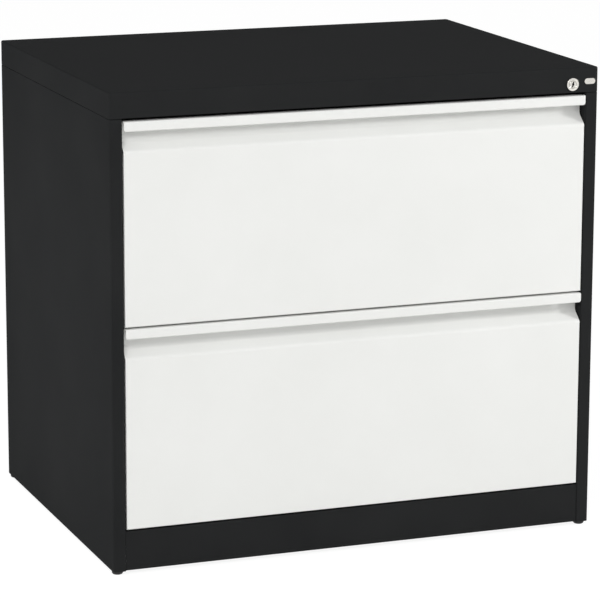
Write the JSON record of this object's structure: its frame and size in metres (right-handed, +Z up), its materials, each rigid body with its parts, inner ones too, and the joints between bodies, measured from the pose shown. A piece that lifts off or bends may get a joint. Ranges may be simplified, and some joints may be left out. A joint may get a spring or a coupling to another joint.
{
  "type": "lateral filing cabinet",
  "caption": "Low steel filing cabinet with full-width drawers, concave finger grips, telescopic slides, suspension-file lanes, a cylinder lock and levelling feet.",
  "frame": {"origin": "on the floor under the middle of the cabinet's box, grip lips included", "axes": "+X to the right seen from the front, +Y to the back, +Z up"},
  "size_m": [0.787, 0.59, 0.733],
  "materials": {
    "carcass_paint": "satin black-grey powder coat",
    "front_paint": "satin white powder coat",
    "zinc_plate": "bright zinc plate",
    "nickel": "nickel plate",
    "black_plastic": "moulded, matt"
  },
  "bodies": {
    "carcass": {"side_panel_left": "carcass_paint", "side_panel_right": "carcass_paint", "front_post_left": "carcass_paint", "front_post_right": "carcass_paint", "rear_post_left": "carcass_paint", "rear_post_right": "carcass_paint", "hood": "carcass_paint", "back_panel": "carcass_paint", "floor_pan": "carcass_paint", "plinth": "carcass_paint", "blank_plate": "nickel", "lock_housing": "nickel", "lock_nut": "zinc_plate", "lock_guide_lower": "black_plastic", "lock_guide_upper": "black_plastic", "lower_slide_outer_left": "zinc_plate", "lower_slide_outer_right": "zinc_plate", "upper_slide_outer_left": "zinc_plate", "upper_slide_outer_right": "zinc_plate"},
    "lower_drawer": {"lower_front": "front_paint", "lower_front_liner": "front_paint", "lower_drawer_side_left": "carcass_paint", "lower_drawer_side_right": "carcass_paint", "lower_drawer_floor": "carcass_paint", "lower_drawer_back": "carcass_paint", "lower_centre_rail": "carcass_paint", "lower_lock_catch": "zinc_plate", "lower_slide_inner_left": "zinc_plate", "lower_slide_inner_right": "zinc_plate"},
    "lower_middle_slides": {"lower_slide_middle_left": "zinc_plate", "lower_slide_middle_right": "zinc_plate"},
    "lower_outer_cages": {"lower_outer_cage_left": "zinc_plate", "lower_outer_cage_right": "zinc_plate"},
    "lower_inner_cages": {"lower_inner_cage_left": "zinc_plate", "lower_inner_cage_right": "zinc_plate"},
    "upper_drawer": {"upper_front": "front_paint", "upper_front_liner": "front_paint", "upper_drawer_side_left": "carcass_paint", "upper_drawer_side_right": "carcass_paint", "upper_drawer_floor": "carcass_paint", "upper_drawer_back": "carcass_paint", "upper_centre_rail": "carcass_paint", "upper_lock_catch": "zinc_plate", "upper_slide_inner_left": "zinc_plate", "upper_slide_inner_right": "zinc_plate"},
    "upper_middle_slides": {"upper_slide_middle_left": "zinc_plate", "upper_slide_middle_right": "zinc_plate"},
    "upper_outer_cages": {"upper_outer_cage_left": "zinc_plate", "upper_outer_cage_right": "zinc_plate"},
    "upper_inner_cages": {"upper_inner_cage_left": "zinc_plate", "upper_inner_cage_right": "zinc_plate"},
    "lock_bar": {"lock_bar": "zinc_plate", "lock_hook_lower": "zinc_plate", "lock_hook_upper": "zinc_plate"},
    "lock_plug": {"lock_plug": "nickel", "lock_cam": "zinc_plate"},
    "levelling_foot_front_left": {"foot_front_left": "black_plastic"},
    "levelling_foot_front_right": {"foot_front_right": "black_plastic"},
    "levelling_foot_rear_left": {"foot_rear_left": "black_plastic"},
    "levelling_foot_rear_right": {"foot_rear_right": "black_plastic"}
  },
  "joints": [
    {"name": "lower_drawer_pull", "type": "slide", "parent": "carcass", "child": "lower_drawer", "axis": [0, -1, 0], "range_m": [0, 0.52]},
    {"name": "lower_middle_slides_run", "type": "slide", "parent": "carcass", "child": "lower_middle_slides", "axis": [0, -1, 0], "range_m": [0, 0.26]},
    {"name": "lower_outer_cages_run", "type": "slide", "parent": "carcass", "child": "lower_outer_cages", "axis": [0, -1, 0], "range_m": [0, 0.13]},
    {"name": "lower_inner_cages_run", "type": "slide", "parent": "carcass", "child": "lower_inner_cages", "axis": [0, -1, 0], "range_m": [0, 0.39]},
    {"name": "upper_drawer_pull", "type": "slide", "parent": "carcass", "child": "upper_drawer", "axis": [0, -1, 0], "range_m": [0, 0.52]},
    {"name": "upper_middle_slides_run", "type": "slide", "parent": "carcass", "child": "upper_middle_slides", "axis": [0, -1, 0], "range_m": [0, 0.26]},
    {"name": "upper_outer_cages_run", "type": "slide", "parent": "carcass", "child": "upper_outer_cages", "axis": [0, -1, 0], "range_m": [0, 0.13]},
    {"name": "upper_inner_cages_run", "type": "slide", "parent": "carcass", "child": "upper_inner_cages", "axis": [0, -1, 0], "range_m": [0, 0.39]},
    {"name": "lock_bar_lift", "type": "slide", "parent": "carcass", "child": "lock_bar", "axis": [0, 0, 1], "range_m": [0, 0.012]},
    {"name": "lock_turn", "type": "hinge", "parent": "carcass", "child": "lock_plug", "pos_m": [0.35, -0.2925, 0.7074], "axis": [0, 1, 0], "range_deg": [0, 90.01]},
    {"name": "foot_front_left_screw", "type": "slide", "parent": "carcass", "child": "levelling_foot_front_left", "axis": [0, 0, -1], "range_m": [0, 0.01]},
    {"name": "foot_front_right_screw", "type": "slide", "parent": "carcass", "child": "levelling_foot_front_right", "axis": [0, 0, -1], "range_m": [0, 0.01]},
    {"name": "foot_rear_left_screw", "type": "slide", "parent": "carcass", "child": "levelling_foot_rear_left", "axis": [0, 0, -1], "range_m": [0, 0.01]},
    {"name": "foot_rear_right_screw", "type": "slide", "parent": "carcass", "child": "levelling_foot_rear_right", "axis": [0, 0, -1], "range_m": [0, 0.01]}
  ],
  "couplings": [
    {"joint": "lower_middle_slides_run", "follows": "lower_drawer_pull", "ratio": 0.5},
    {"joint": "lower_outer_cages_run", "follows": "lower_drawer_pull", "ratio": 0.25},
    {"joint": "lower_inner_cages_run", "follows": "lower_drawer_pull", "ratio": 0.75},
    {"joint": "upper_middle_slides_run", "follows": "upper_drawer_pull", "ratio": 0.5},
    {"joint": "upper_outer_cages_run", "follows": "upper_drawer_pull", "ratio": 0.25},
    {"joint": "upper_inner_cages_run", "follows": "upper_drawer_pull", "ratio": 0.75},
    {"joint": "lock_turn", "follows": "lock_bar_lift", "rad_per_m": 130.9}
  ]
}
